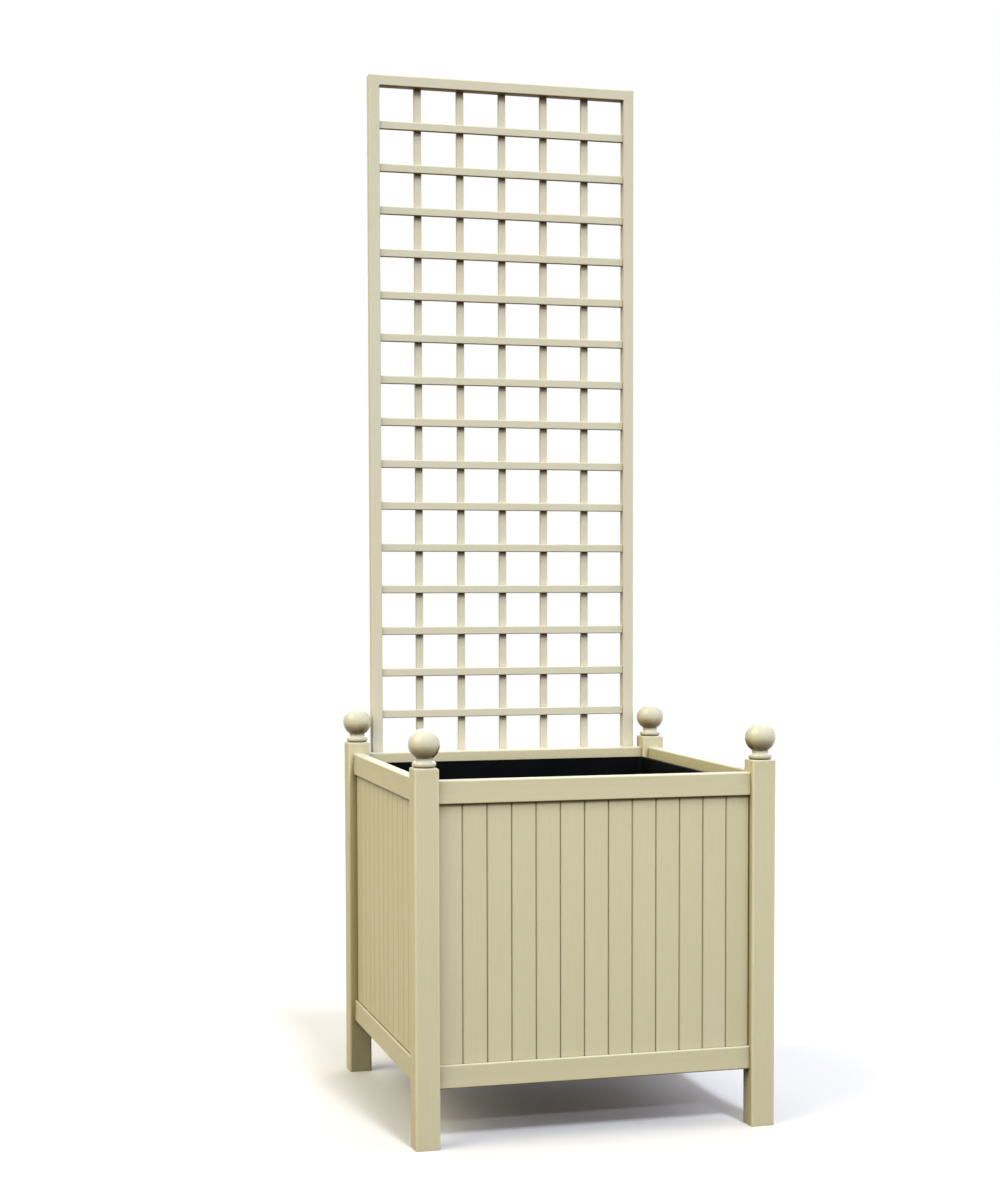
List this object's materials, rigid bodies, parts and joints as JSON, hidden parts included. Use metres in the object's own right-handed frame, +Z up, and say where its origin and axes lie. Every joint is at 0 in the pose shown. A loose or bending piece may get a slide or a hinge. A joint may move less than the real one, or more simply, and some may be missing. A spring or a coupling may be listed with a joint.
{
  "type": "planter with trellis",
  "caption": "Square painted timber planter on posts with ball finials, boarded sides and a lift-out liner, with a tall lattice trellis fixed behind it.",
  "frame": {"origin": "on the floor, in the middle of the ground that the object covers: 2.5 mm behind the middle of the planter's four posts", "axes": "+Z up, +X to the right and +Y to the back as seen by someone facing the planter's front"},
  "size_m": [0.6099, 0.615, 1.8],
  "materials": {
    "timber_paint": "satin cream paint on planed softwood, edges eased",
    "trellis_paint": "satin cream paint on planed laths",
    "finial_paint": "glossier cream paint on turned wood",
    "bare_timber": "bare treated softwood, out of sight",
    "liner": "black moulded plastic, satin",
    "screw": "zinc plated"
  },
  "bodies": {
    "planter": {"bearer_back": "bare_timber", "bearer_front": "bare_timber", "bearer_screws": "screw", "boards_back": "timber_paint", "boards_front": "timber_paint", "boards_left": "timber_paint", "boards_right": "timber_paint", "bottom_rail_back": "timber_paint", "bottom_rail_front": "timber_paint", "bottom_rail_left": "timber_paint", "bottom_rail_right": "timber_paint", "finials": "finial_paint", "floor_slat_1": "bare_timber", "floor_slat_2": "bare_timber", "floor_slat_3": "bare_timber", "floor_slat_4": "bare_timber", "floor_slat_5": "bare_timber", "post_back_left": "timber_paint", "post_back_right": "timber_paint", "post_front_left": "timber_paint", "post_front_right": "timber_paint", "top_rail_back": "timber_paint", "top_rail_front": "timber_paint", "top_rail_left": "timber_paint", "top_rail_right": "timber_paint", "trellis_bottom_rail": "trellis_paint", "trellis_lath_01": "trellis_paint", "trellis_lath_02": "trellis_paint", "trellis_lath_03": "trellis_paint", "trellis_lath_04": "trellis_paint", "trellis_lath_05": "trellis_paint", "trellis_lath_06": "trellis_paint", "trellis_lath_07": "trellis_paint", "trellis_lath_08": "trellis_paint", "trellis_lath_09": "trellis_paint", "trellis_lath_10": "trellis_paint", "trellis_lath_11": "trellis_paint", "trellis_lath_12": "trellis_paint", "trellis_lath_13": "trellis_paint", "trellis_lath_14": "trellis_paint", "trellis_lath_15": "trellis_paint", "trellis_screws": "screw", "trellis_stile_left": "trellis_paint", "trellis_stile_right": "trellis_paint", "trellis_top_rail": "trellis_paint", "trellis_upright_1": "trellis_paint", "trellis_upright_2": "trellis_paint", "trellis_upright_3": "trellis_paint", "trellis_upright_4": "trellis_paint", "trellis_upright_5": "trellis_paint"},
    "liner": {"liner": "liner"}
  },
  "joints": [
    {"name": "liner_lift", "type": "slide", "parent": "planter", "child": "liner", "axis": [0, 0, 1], "range_m": [0, 0.56]}
  ]
}
